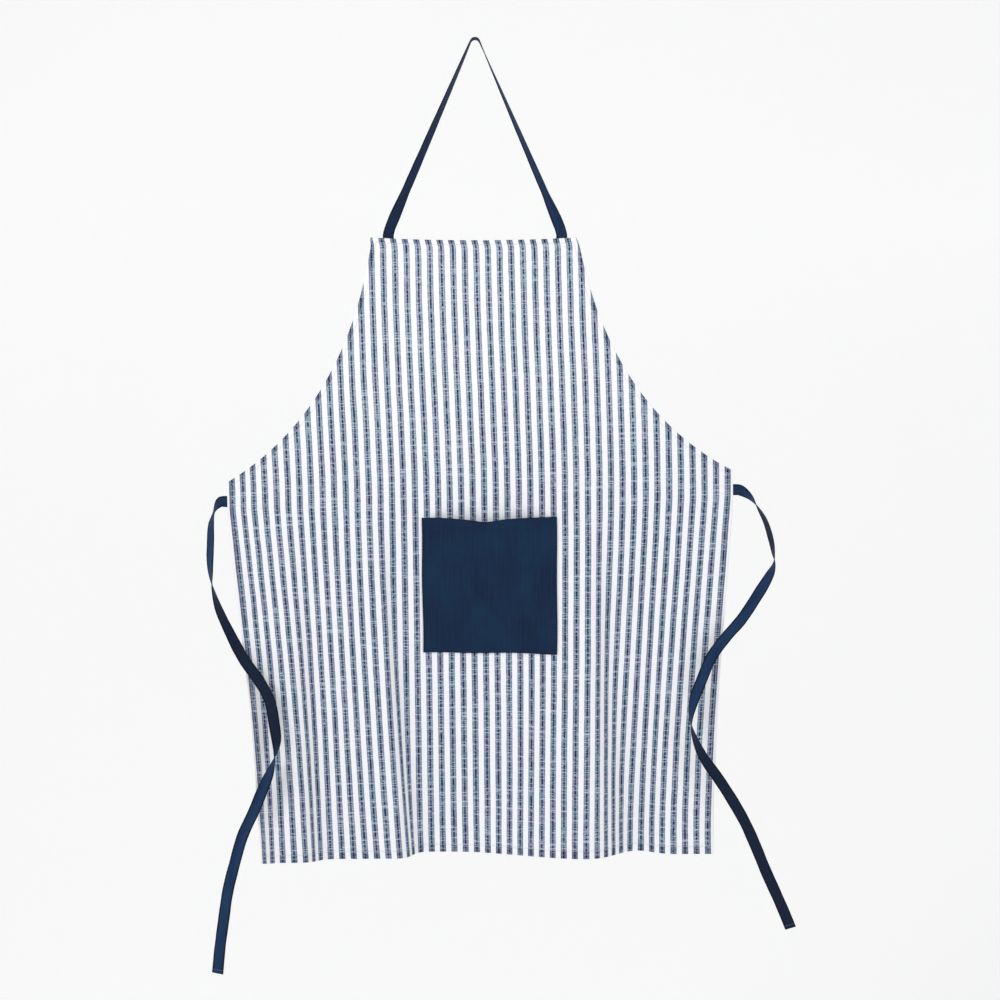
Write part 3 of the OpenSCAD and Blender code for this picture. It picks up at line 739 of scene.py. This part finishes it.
side_out[t_rows > corner_t] = (1, 0)
side_out[np.isclose(t_rows, corner_t)] = (ARM_OUT[-1] + (1, 0)) / (1 + ARM_OUT[-1, 0])
edge_u = np.abs(u_grid[:, :1])
from_left, from_right = u_grid + edge_u, edge_u - u_grid
side_share = fade(from_right, HEM_REACH) * (u_grid > 0) - fade(from_left, HEM_REACH) * (u_grid < 0)
top_share = fade(t_grid - t_rows[0], HEM_REACH)
low_share = fade(t_rows[-1] - t_grid, HEM_REACH)


def steps(side_len, top_len, low_len):
    """Each grid point's step outward, of these lengths at the sides, top and bottom."""
    across_part = side_share * side_out[:, :1] * side_len
    down_part = (np.abs(side_share) * side_out[:, 1:] * side_len
                 - top_share * top_len + low_share * low_len)
    return np.stack([across_part, down_part], -1)


# the bottom hem's insets are scaled, so that its stitches lie on the same line in the material
low_scale = (SIDE_HEM - STITCH_INSET) / (BOTTOM_HEM - STITCH_INSET)
col_insets = np.concatenate([INSETS, np.full(len(inner_cols), NO_HEM), INSETS[::-1]])
inset_grid = np.minimum(np.minimum(t_grid, (BODY_LEN - t_grid) * low_scale), col_insets[None])
points, faces, cloth = hemmed(
    u_grid, t_grid, steps(EDGE_R, EDGE_R, EDGE_R),
    steps(SIDE_HEM - EDGE_R, SIDE_HEM - EDGE_R, BOTTOM_HEM - EDGE_R),
    lambda a, b, depth: shifted(surf(a, b), np.asarray(depth) - PANEL_BACK),
    3, CLOTH, inset_grid, NO_HEM)
panel = make("striped_panel", points, faces, cloth, STRIPED, "striped_cloth")
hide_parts("body_panel")
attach(panel, "apron")

# the pocket
pocket_left = POCKET_SIDE - POCKET_W / 2
POCKET_R = POCKET_TH
CRUMPLES = [(0.35, 13.0, 37.0, 0.0), (0.25, 21.0, -11.0, 1.0), (0.2, 8.0, 15.0, 2.0)]


def bump(a, middle, wide):
    """A round hill of height 1 at a = middle."""
    return np.exp(-((a - middle) / wide) ** 2)


def pocket_place(a, d, depth):
    """Points of the pocket: a from its left side, d down from its mouth, depth behind its front."""
    v = np.abs(2 * (a - POCKET_MARGIN) / (POCKET_W - 2 * POCKET_MARGIN) - 1)
    down = np.clip(1 - d / (POCKET_H - POCKET_MARGIN), 0, 1)
    open_by = POCKET_GAPE * down * (1 - np.minimum(1, v) ** 3)
    p = surf(pocket_left + a, POCKET_DROP + d)
    room = smooth(np.minimum(np.minimum(a, POCKET_W - a), POCKET_H - d) / 30)
    crumple = room * waves(CRUMPLES, a, d)
    dimple = 5.0 * bump(a, 88, 8) * smooth(1 - d / 18)
    p[..., 1] += -PANEL_BACK - POCKET_GAP - open_by - 2 * POCKET_TH + depth - np.abs(crumple) + dimple
    # its edges wave a little, and its mouth dips in the middle
    p[..., 0] += 0.5 * np.sin(d / 21 + 0.6) - 0.5 * np.sin(0.6)
    p[..., 2] += 0.4 * np.sin(a / 15)
    dip = 4.0 * bump(a, 92, 48) + 2.2 * bump(a, 88, 15)
    p[..., 2] -= dip * np.clip(1 - d / 70, 0, 1) ** 1.5
    # it is sewn on a little askew
    near, low = 1 - a / POCKET_W, d / POCKET_H
    p[..., 2] += 2.5 * near * (1 - low) - 4.5 * (1 - near) * low
    return p


POCKET_RIM, MOUTH_RIM = 7.5, 18.0
POCKET_REACH, MOUTH_REACH = 20, 30
EDGES = np.array([POCKET_R, 1.6, 2.6, 3.5, 4.4, 6.0, POCKET_RIM])
HEM_ROWS = np.array([POCKET_R, 1.6, 3.5, 8.0, 13.0, 14.5, 16.0, MOUTH_RIM])
inner_a = np.linspace(POCKET_RIM, POCKET_W - POCKET_RIM, 62)[1:-1]
inner_d = np.linspace(MOUTH_RIM, POCKET_H - POCKET_RIM, 54)[1:-1]
a_cols = np.concatenate([EDGES, inner_a, POCKET_W - EDGES[::-1]])
d_rows = np.concatenate([HEM_ROWS, inner_d, POCKET_H - EDGES[::-1]])
d_grid, a_grid = np.meshgrid(d_rows, a_cols, indexing="ij")
aside = fade(POCKET_W - a_grid, POCKET_REACH) - fade(a_grid, POCKET_REACH)
aside /= max(abs(aside.min()), aside.max())
over = fade(d_grid - POCKET_R, MOUTH_REACH)
under = fade(POCKET_H - POCKET_R - d_grid, POCKET_REACH)


def pocket_steps(side_len, top_len, low_len):
    """Like steps, for the pocket's grid."""
    return np.stack([aside * side_len, under * low_len - over * top_len], -1)


NO_POCKET_HEM = 50.0  # inset given to the pocket's back
aside_inset = np.minimum(a_grid, POCKET_W - a_grid)
pocket_inset = np.minimum(aside_inset, np.minimum(POCKET_H - d_grid, d_grid))
points, faces, cloth = hemmed(
    a_grid, d_grid, pocket_steps(POCKET_R, POCKET_R, POCKET_R),
    pocket_steps(POCKET_MARGIN - POCKET_R, POCKET_HEM - POCKET_R, POCKET_MARGIN - POCKET_R),
    pocket_place, 2, POCKET_TH, pocket_inset, NO_POCKET_HEM)
pocket = make("pocket_canvas", points, faces, cloth, CANVAS, "navy_canvas")
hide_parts("pocket")
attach(pocket, "apron")


# ---- stitches --------------------------------------------------------------------------------
THREAD = 0.45  # thickness of the thread in mm
SIDES = 6
JITTER = 0.12  # mm by which a stitch may lie off its even place, along and across
# rings of one stitch: share of its length, share of its girth, height above the cloth
CAPSULE = np.array([(-0.5, 0.15, -0.20), (-0.40, 0.75, 0.28), (-0.15, 1.0, 0.62),
                    (0.15, 1.0, 0.62), (0.40, 0.75, 0.28), (0.5, 0.15, -0.20)])


def stitches(place, line, spacing, length, width, seed):
    """Capsules of thread along line. place(points on the cloth, height) gives points, with height
    above the face. Returns points, faces and cloth coordinates."""
    line = np.asarray(line, float)
    at = run_of(line)
    n = max(1, int(at[-1] / spacing))
    pitch = at[-1] / n
    rng = np.random.default_rng(seed)
    middle = (np.arange(n) + 0.5) * pitch + rng.uniform(-JITTER, JITTER, n)
    lengths = length * rng.uniform(0.94, 1.05, n)
    share, girth, rise = CAPSULE.T
    angle = np.arange(SIDES) * 2 * math.pi / SIDES
    s = middle[:, None] + lengths[:, None] * share[None]

    def along(run):
        return np.stack([np.interp(run, at, line[:, k]) for k in (0, 1)], -1)

    uv = along(s)
    ahead = unit(along(s + 0.2) - along(s - 0.2) + 1e-9)
    beside = np.stack([-ahead[..., 1], ahead[..., 0]], -1)
    thick = width * girth[None]
    skew = rng.uniform(-JITTER, JITTER, n)[:, None] + 0.10 * share[None]
    off = thick[..., None] / 2 * np.cos(angle) + skew[..., None]
    high = width * 0.8 * (rise[None, :, None] * 0.75 + girth[None, :, None] / 2 * np.sin(angle))
    high = np.broadcast_to(high, off.shape)
    at_uv = uv[:, :, None, :] + beside[:, :, None, :] * off[..., None]
    points = place(at_uv, high).reshape(-1, 3)
    own = np.arange(n)[:, None, None] * 1.7
    cloth = np.stack([np.broadcast_to(v, off.shape) for v in (angle, s[..., None], own)], -1)
    cloth = cloth.reshape(-1, 3)
    rings = len(CAPSULE)
    one = quads_of(rings, SIDES, closed=True)
    faces = [one + k * rings * SIDES for k in range(n)]
    caps = []
    for k in range(n):
        b = k * rings * SIDES
        caps.append(list(b + np.arange(SIDES))[::-1])
        caps.append(list(b + (rings - 1) * SIDES + np.arange(SIDES)))
    return points, [list(f) for f in np.concatenate(faces)] + caps, cloth


def join(parts):
    """Points, faces and cloth coordinates of several parts in one."""
    points, faces, cloth, first = [], [], [], 0
    for p, f, c in parts:
        points.append(p)
        faces += [[first + i for i in face] for face in f]
        cloth.append(c)
        first += len(p)
    return np.concatenate(points), faces, np.concatenate(cloth)


def on_face(depth, sign, base=surf):
    """Places stitches on the face at that depth. sign is -1 for a face to the front."""
    def place(uv, high):
        p = base(uv[..., 0], uv[..., 1])
        p[..., 1] += depth + sign * high
        return p
    return place


def sewn(node, parts, material, slot):
    """One piece of stitches that takes the place of a node of the apron's body."""
    ob = make(f"{node}_stitches", *join(parts), material, slot)
    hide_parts(node)
    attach(ob, "apron")


LINE_IN = SIDE_HEM - STITCH_INSET
# each kind of stitch: mm from one to the next, and its own length
HEM_STITCH, POCKET_STITCH, BAR_STITCH = (3.4, 2.9), (3.2, 2.7), (1.1, 1.5)
BOX_STITCH, TIP_STITCH = (2.4, 2.1), (2.2, 1.9)


def hem_stitches(node, line, seed):
    """Rows of stitches along line on both faces of the panel."""
    front = stitches(on_face(-PANEL_BACK, -1), line, *HEM_STITCH, THREAD, seed)
    back = stitches(on_face(HEM_BACK, 1), line, *HEM_STITCH, THREAD, seed + 1)
    sewn(node, [front, back], WHITE_THREAD, "white_thread")


def level(half, row, count):
    """A line across the cloth at that row."""
    return np.stack([np.linspace(-half, half, count), np.full(count, row)], 1)


def sided(side, start, end):
    """A line down one side of the panel, as far inside its outline as the stitches."""
    t = np.linspace(start, end, 160)
    return np.stack([side * half_inset(LINE_IN, t), t], 1)


low_t = BODY_LEN - BOTTOM_HEM + STITCH_INSET
turn_t = corner_row(LINE_IN)
hem_stitches("top_hem_thread", level(half_inset(LINE_IN, LINE_IN), LINE_IN, 80), 11)
hem_stitches("bottom_hem_thread", level(HALF_W - LINE_IN, low_t, 200), 21)
for k, (side, word) in enumerate(((-1, "left"), (1, "right"))):
    hem_stitches(f"armhole_thread_{word}", sided(side, LINE_IN, turn_t), 31 + 2 * k)
    hem_stitches(f"side_hem_thread_{word}", sided(side, turn_t, low_t), 41 + 2 * k)


on_pocket = on_face(0, -1, lambda a, d: pocket_place(a, d, 0.0))
IN = POCKET_MARGIN / 2
seam_line = [(IN, 2.0), (IN, POCKET_H - IN), (POCKET_W - IN, POCKET_H - IN), (POCKET_W - IN, 2.0)]
runs = []
for k, (a, b) in enumerate(zip(seam_line, seam_line[1:])):
    runs.append(stitches(on_pocket, np.linspace(a, b, 60), *POCKET_STITCH, THREAD, 51 + k))
for k, x in enumerate((IN + 1.8, POCKET_W - IN - 1.8)):  # bars that hold the corners of the mouth
    bar = np.linspace((x, 2.5), (x, 11), 12)
    runs.append(stitches(on_pocket, bar, *BAR_STITCH, THREAD, 57 + k))
sewn("pocket_seam_thread", runs, NAVY_THREAD, "navy_thread")
mouth_t = POCKET_HEM - STITCH_INSET
line = np.linspace((IN, mouth_t), (POCKET_W - IN, mouth_t), 80)
mouth = stitches(on_pocket, line, *POCKET_STITCH, THREAD, 61)
sewn("pocket_hem_thread", [mouth], NAVY_THREAD, "navy_thread")


def box_lines(x0, x1, z0, z1):
    """The four sides of a box and its two diagonals."""
    return [[(x0, z0), (x1, z0)], [(x1, z0), (x1, z1)], [(x1, z1), (x0, z1)], [(x0, z1), (x0, z0)],
            [(x0, z0), (x1, z1)], [(x0, z1), (x1, z0)]]


def anchor(node, x0, x1, z0, z1, seed):
    """Box stitching that holds a tab: navy on the tape behind, white on the front of the cloth."""
    back, front = [], []

    def behind(p, high):
        y = np.full(high.shape, TAPE_Y + TAPE_TH / 2) + high
        return np.stack([p[..., 0], y, p[..., 1]], -1)

    def before(p, high):
        return np.stack([p[..., 0], -PANEL_BACK - high, p[..., 1]], -1)

    for k, (a, b) in enumerate(box_lines(x0, x1, z0, z1)):
        line = np.linspace(a, b, 12)
        back.append(stitches(behind, line, *BOX_STITCH, THREAD, seed + k))
        if k < 4:
            front.append(stitches(before, line, *BOX_STITCH, THREAD * 0.8, seed + k + 7))
    back, front = join(back), join(front)
    which = [0] * len(back[1]) + [1] * len(front[1])
    both = [NAVY_THREAD, WHITE_THREAD]
    ob = make(f"{node}_stitches", *join([back, front]), both, "navy_thread", which)
    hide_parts(node)
    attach(ob, "apron")


# the stitched boxes: half width, and how far they keep from the hem's inside and the tape's end
BOX_HALF, PAST_HEM_BY, BEFORE_END = 5.5, 0.6, 2
box_low = -LOOP_DROP - TAB_LEN + BEFORE_END
box_high = -LOOP_DROP - (SIDE_HEM + PAST_HEM_BY + BIB_SAG)
for k, (side, word) in enumerate(((-1, "left"), (1, "right"))):
    x = side * leg_x
    anchor(f"neck_anchor_thread_{word}", x - BOX_HALF, x + BOX_HALF, box_low, box_high, 71 + 20 * k)

# the row across a tie's tip: distance from its end, half length, height above the tape's middle
TIP_IN, TIP_HALF, TIP_HIGH = 4.6, 6.6, TAPE_TH / 2 * 1.47
for k, (word, side, seam, line) in enumerate(ties):
    ends = sorted(seam[0] - side * far for far in (SIDE_HEM + PAST_HEM_BY, TAB_LEN - BEFORE_END))
    anchor(f"tie_anchor_thread_{word}", *ends, seam[2] - BOX_HALF, seam[2] + BOX_HALF, 111 + 20 * k)
    # the thread across the turned end of the tie
    direction, wide, thick = tape_frames(line)
    at = run_of(line)
    tip = at[-1] - TIP_IN

    def on_tape(p, high, sign):
        s = p[..., 1] + TIE_SLANT * side * p[..., 0]
        middle, aside, through = [
            np.stack([np.interp(s, at, v[:, c]) for c in range(3)], -1) for v in (line, wide, thick)]
        return middle + aside * p[..., :1] + through * (sign * (TIP_HIGH + high))[..., None]

    rows = []
    for sign in (1.0, -1.0):
        run = np.linspace((-TIP_HALF, tip), (TIP_HALF, tip), 12)
        place = lambda p, high, face=sign: on_tape(p, high, face)
        rows.append(stitches(place, run, *TIP_STITCH, THREAD, 151 + k))
    ob = make(f"tie_end_thread_{word}_stitches", *join(rows), PALE_THREAD, "white_thread")
    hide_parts(f"tie_end_thread_{word}")
    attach(ob, f"{word}_tie")


# ---- stage and light -------------------------------------------------------------------------
def studio():
    p = Paint("studio", 0.9, 0.0, (1, 1, 1, 1))
    where = p.add("ShaderNodeTexCoord")
    grain = p.add("ShaderNodeTexNoise")
    grain.inputs["Scale"].default_value = 1.2
    p.link(where.outputs["Object"], grain.inputs["Vector"])
    tone = p.mix(grain.outputs[0], srgb("#ededed"), srgb("#efefef"))
    p.link(tone, p.shader.inputs["Base Color"])
    p.shader.inputs["Emission Color"].default_value = (1, 1, 1, 1)
    p.shader.inputs["Emission Strength"].default_value = 0.25
    return p.mat


# the floor and its rounded rise to the back, in metres: y and z
FLOOR_Z, BACK_TOP, BEND_Y, BEND_R = -2.0, 5.0, 1.6, 2.4
profile = [(-5.0, FLOOR_Z), (BEND_Y, FLOOR_Z)]
for a in np.linspace(0.08, math.pi / 2, 20):
    profile.append((BEND_Y + BEND_R * math.sin(a), FLOOR_Z + BEND_R * (1 - math.cos(a))))
profile.append((BEND_Y + BEND_R, BACK_TOP))
xs = np.linspace(-7, 7, 15)
grid = np.array([[(x, y, z) for x in xs] for y, z in profile]) / MM
cove = make("cove", grid.reshape(-1, 3), quads_of(len(profile), len(xs)), None, studio())

scene = bpy.context.scene
world = bpy.data.worlds.new("studio")
scene.world = world
world.use_nodes = True
sky = world.node_tree.nodes["Background"]
sky.inputs["Color"].default_value = (0.985, 0.99, 1.0, 1)
sky.inputs["Strength"].default_value = 0.67


def lamp(name, at, target, size, power, colour):
    """A round area lamp, in metres and watts, that points at its target."""
    data = bpy.data.lights.new(name, "AREA")
    data.shape = "DISK"
    data.size = size
    data.energy = power
    data.color = colour
    ob = bpy.data.objects.new(name, data)
    bpy.context.collection.objects.link(ob)
    ob.location = at
    way = np.array(target, float) - np.array(at, float)
    tip = math.acos(-way[2] / np.linalg.norm(way))
    ob.rotation_euler = (tip, 0, math.atan2(way[1], way[0]) - math.pi / 2)


lamp("key", (-1.9, -2.6, 1.1), (0, 0, -0.45), 1.3, 36, (1.0, 0.99, 0.97))
lamp("fill", (2.4, -2.2, -0.4), (0, 0, -0.8), 2.0, 9, (0.96, 0.98, 1.0))

scene.view_settings.view_transform = "Standard"
scene.view_settings.look = "None"
scene.view_settings.exposure = 0.0
